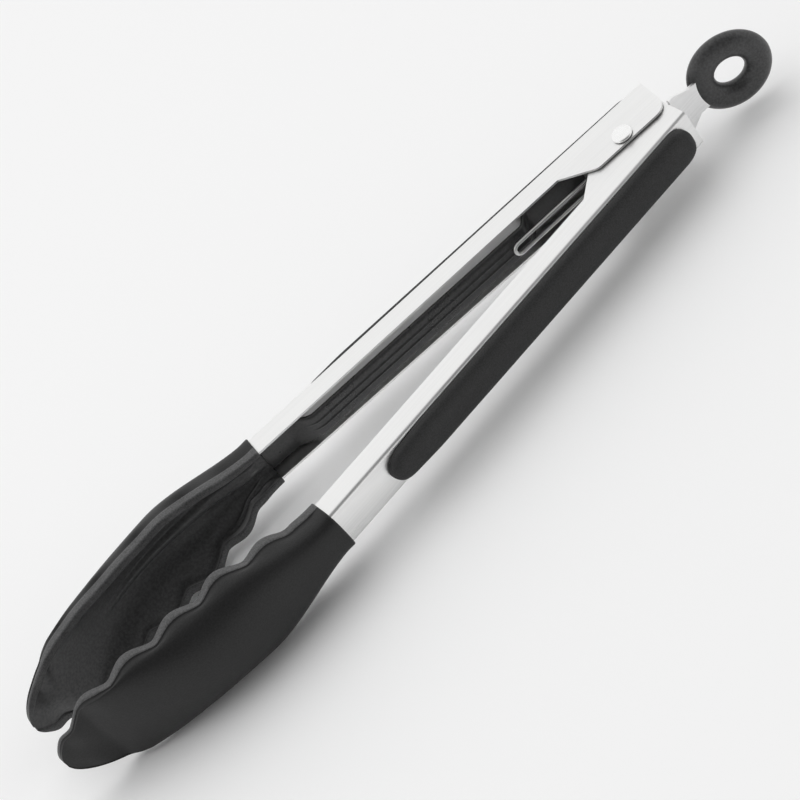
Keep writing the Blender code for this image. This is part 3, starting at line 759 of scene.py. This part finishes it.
def head_half_section(s):
    """Section of a head on its +z side, from the middle of the bowl to the middle of the back."""
    rim, half, back, power = rim_level(s), half_width(s), back_level(s), fullness_power(s)
    small = min(half / FULL_HALF_WIDTH, 1.0)
    wall = RIM_THICKNESS * small * between(SLEEVE_WALL_SHARE, 1.0, rise(s, *WALL_RISE))
    inner_half = max(half - wall, BOWL_SHARE * half)
    floor = between(TONGUE_TOP - FLOOR_TUCK, back - BACK_THICKNESS, rise(s, *FLOOR_RISE))
    floor = between(rim + SHALLOWEST_BOWL, floor, fall(s, *BOWL_FALL))
    points = bowl_section(s, rim, inner_half, floor, power, small)
    corner = RIM_CORNER * small
    points += arc(rim + corner, inner_half + corner, corner, 180.0, 90.0, INNER_CORNER_POINTS)
    points += arc(rim + corner, half - corner, corner, 90.0, 0.0, OUTER_CORNER_POINTS)
    band_end = rim + BAND * min(1.0, (back - rim) / BAND_FULL_DEPTH)
    step = BAND_STEP * small * rise(s, *STEP_RISE)
    points += [(between(rim + corner, band_end - BAND_EDGE, k / BAND_STEPS), half)
               for k in range(1, BAND_STEPS + 1)]
    points += [(band_end + past, half - share * step) for past, share in BAND_PROFILE]
    start = min(band_end + SHELL_START, back - THINNEST_SHELL)
    return points + shell_section(start, half - SHELL_INSET * step, back, power)


def head_ring(s):
    """Whole section of a head, with the rim's wave added and its two sides mirrored."""
    half_section = head_half_section(s)
    rim, half = rim_level(s), half_width(s)
    wave = SCALLOP_DEPTH * scallop(s)
    shaped = []
    for v, z in half_section:
        reach = max(1.0 - (v - rim) / SCALLOP_REACH, 0.0)
        sideways = smoothstep(z / max(half - SCALLOP_SIDE, 1.0))
        shift = wave * smoothstep(reach * SCALLOP_PLATEAU) * sideways
        shaped.append((v - shift, z + shift * min(half / SCALLOP_NARROWEST, 1.0)))
    mirrored = [(v, -z) for v, z in reversed(shaped[1:-1])]
    return [(JUNCTION - s, v, z) for v, z in shaped + mirrored]


def head_shell(side, material, lining, band):
    """Scalloped silicone bowl with a banded rim, a ribbed floor and a sleeve over the arm."""
    straight = HEAD_LENGTH * (1.0 - NOSE_SHARE)
    stations = [0.0, TUCK_LENGTH]
    stations += [straight * k / HEAD_STATIONS for k in range(1, HEAD_STATIONS + 1)]
    for k in range(1, NOSE_STATIONS + 1):
        turn = math.radians(90.0 * k / NOSE_STATIONS)
        stations.append(between(straight, HEAD_LENGTH - TIP_INSET, math.sin(turn)))
    rings = [head_ring(s) for s in stations]
    rings[0] = [(u, v + (TUCK if v < TUCK_MIDDLE else -TUCK), z * TUCK_WIDTH)
                for u, v, z in rings[0]]
    bm = loft(rings, side)
    count = len(rings[0])
    quads = [face for face in bm.faces if len(face.verts) == 4]
    for k, face in enumerate(quads):
        place = min(k % count, count - 1 - k % count)
        # Bowl's inside faces: the shell's silicone lightened as painted light
        if place < BOWL_POINTS:
            face.material_index = LINING_INDEX
        # Rim band faces: the shell's silicone lightened as painted light
        elif place < BOWL_POINTS + BAND_POINTS:
            face.material_index = BAND_INDEX
    shell = add_piece(PREFIX[side] + "_head_shell", bm, side, material, "head_silicone",
                      BODIES[side], PREFIX[side] + "_head_skin", sharp=75.0)
    shell.data.materials.append(lining)
    shell.data.materials.append(band)


def core_section(u):
    """Section of the bar in the channel: two ridges on its face, turning into a flat tongue."""
    tongue = fall(u, TONGUE_START, TONGUE_START - TONGUE_END)
    tail = rise(u, BAR_REAR, TAIL_END - BAR_REAR)
    top = between(between(BAR_TOP, TONGUE_TOP, tongue), TAIL_TOP, tail)
    thick = between(BAR_THICKNESS, TONGUE_THICKNESS, tongue)
    half = between(BAR_HALF_WIDTH, TONGUE_HALF_WIDTH, fall(u, *TONGUE_WIDTH_FALL))
    ridge = RIDGE_HEIGHT * (1.0 - fall(u, *RIDGE_FALL)) * (1.0 - tail)
    half *= between(TAIL_NARROWEST, 1.0, fall(u, TAIL_REAR, TAIL_ROUND))
    points = []
    for k in range(BAR_STEPS + 1):
        z = half * (2.0 * k / BAR_STEPS - 1.0)
        lift = ridge * math.exp(-((abs(z) - RIDGE_Z) / RIDGE_HALF_WIDTH) ** 4)
        edge = BAR_EDGE * (abs(z) / half) ** BAR_EDGE_POWER
        dish = TONGUE_DISH * (1.0 - (z / half) ** 2) * tongue
        points.append((top - lift + edge + dish, z))
    under = half * BAR_UNDERSIDE
    points += [(top + thick, under), (top + thick, -under)]
    return [(u, v, z) for v, z in points]


def head_core(side, material):
    """Nylon bar along the channel, lofted in three stretches: tail, bar and tongue."""
    stations = [TAIL_REAR, TAIL_REAR - 0.4, TAIL_REAR - TAIL_ROUND]
    stations += [between(TAIL_END, BAR_REAR, k / 12) for k in range(13)]
    stations += [between(BAR_REAR - 2.0, TONGUE_START + 4.0, k / 30) for k in range(31)]
    stations += [between(TONGUE_START + 3.0, JUNCTION - 3.0, k / 40) for k in range(41)]
    bm = loft([core_section(u) for u in stations], side)
    add_piece(PREFIX[side] + "_core_bar", bm, side, material, "core_nylon", BODIES[side],
              PREFIX[side] + "_head_core", sharp=50.0)


# ---------------------------------------------------------------- pull tab and ring

def hang_ring(material):
    """Soft ring moulded round the tab's eye, with a parting line round its tube."""
    side = -1.0
    reach = (RING_U - TAB_BEND) / math.cos(NECK_TILT)
    place = Matrix.Translation((TAB_BEND, side * TAB_V, 0.0))
    place = place @ Matrix.Rotation(side * NECK_TILT, 4, "Z")
    place = place @ Matrix.Translation((reach, 0.0, 0.0))
    place = place @ Matrix.Rotation(side * RUBBER_TILT, 4, "Z")
    bm = bmesh.new()
    rows = []
    for i in range(RING_STATIONS):
        angle = 2.0 * math.pi * i / RING_STATIONS
        row = []
        for k in range(RING_SIDES):
            phi = 2.0 * math.pi * k / RING_SIDES
            seam = 1.0 + SEAM_HEIGHT * math.exp(-(math.sin(phi) / SEAM_SPREAD) ** 2)
            r = RING_RADIUS + RING_HALF_TUBE * math.cos(phi) * seam
            y = RING_HALF_HEIGHT * math.sin(phi)
            row.append(bm.verts.new(place @ Vector((r * math.cos(angle), y,
                                                    r * math.sin(angle)))))
        rows.append(row)
    for i in range(RING_STATIONS):
        for k in range(RING_SIDES):
            m = (i + 1) % RING_STATIONS
            n = (k + 1) % RING_SIDES
            bm.faces.new((rows[i][k], rows[m][k], rows[m][n], rows[i][n]))
    add_piece("ring", bm, side, material, "ring_rubber", "pull_tab_body", "hang_ring")


# ---------------------------------------------------------------- assembly

def main():
    make_camera()
    make_stage()
    arm_steel = {}
    for side in (1.0, -1.0):
        arm_steel[side] = steel_material(PREFIX[side] + "_arm_steel", light=(0.86, 0.86, 0.857),
                                         dark=(0.79, 0.79, 0.787), roughness=0.34,
                                         turn=-side * HALF_ANGLE)
    tab_steel = steel_material("tab_steel_brushed", light=(0.90, 0.90, 0.90),
                               dark=(0.82, 0.82, 0.82), roughness=0.34, turn=HALF_ANGLE)
    rivet_steel = steel_material("rivet_steel_turned", light=(0.95, 0.95, 0.945),
                                 dark=(0.90, 0.90, 0.895), roughness=0.24,
                                 brush=(0.0010, 0.0010, 0.02))
    wire_steel = steel_material("spring_wire_drawn", light=(0.97, 0.97, 0.96),
                                dark=(0.86, 0.86, 0.85), roughness=0.30,
                                brush=(0.004, 0.001, 0.001))
    pad_rubber = black_material("pad_rubber_grain", shade=0.020, roughness=0.60,
                                grain_size=0.00045, grain_depth=0.00008, specular=0.36)
    silicone = black_material("silicone_grain", shade=0.0085, roughness=0.46,
                              grain_size=0.00055, grain_depth=0.00010, specular=0.40)
    # The bar's edges and ridges are lightened partly as painted highlights
    nylon = black_material("nylon_smooth", shade=0.028, roughness=0.30, grain_size=0.0009,
                           grain_depth=0.00002, specular=0.7, edges=(0.52, 0.60))
    # The bowl's inside is the shell's silicone, smoother, with a lighter shade as painted light
    # and its rib edges lightened as painted highlights
    lining = black_material("bowl_lining_painted_light", shade=0.050, roughness=0.38, grain_size=0.0009,
                            grain_depth=0.00002, specular=0.6, edges=(0.51, 0.56))
    # The rim band is the shell's silicone with a lighter shade painted on, as light falling on its
    # upturned face, and painted highlights on its edges
    band = black_material("rim_band_painted_light", shade=0.062, roughness=0.50,
                          grain_size=0.00055, grain_depth=0.00010, specular=0.5)
    ring_rubber = black_material("ring_rubber_smooth", shade=0.034, roughness=0.34,
                                 grain_size=0.0008, grain_depth=0.00002, specular=0.5)
    for side in (1.0, -1.0):
        refined_copy(PREFIX[side] + "_channel", PREFIX[side] + "_arm", side, arm_steel[side],
                     "arm_steel", BODIES[side], ARM_EDGE_ROUND)
        grip_pad(side, pad_rubber)
        head_core(side, nylon)
        head_shell(side, silicone, lining, band)
    pivot_rivet(rivet_steel)
    torsion_spring(wire_steel)
    refined_copy("tab_plate", "pull_tab", -1.0, tab_steel, "tab_steel", "pull_tab_body",
                 TAB_EDGE_ROUND)
    hang_ring(ring_rubber)


main()
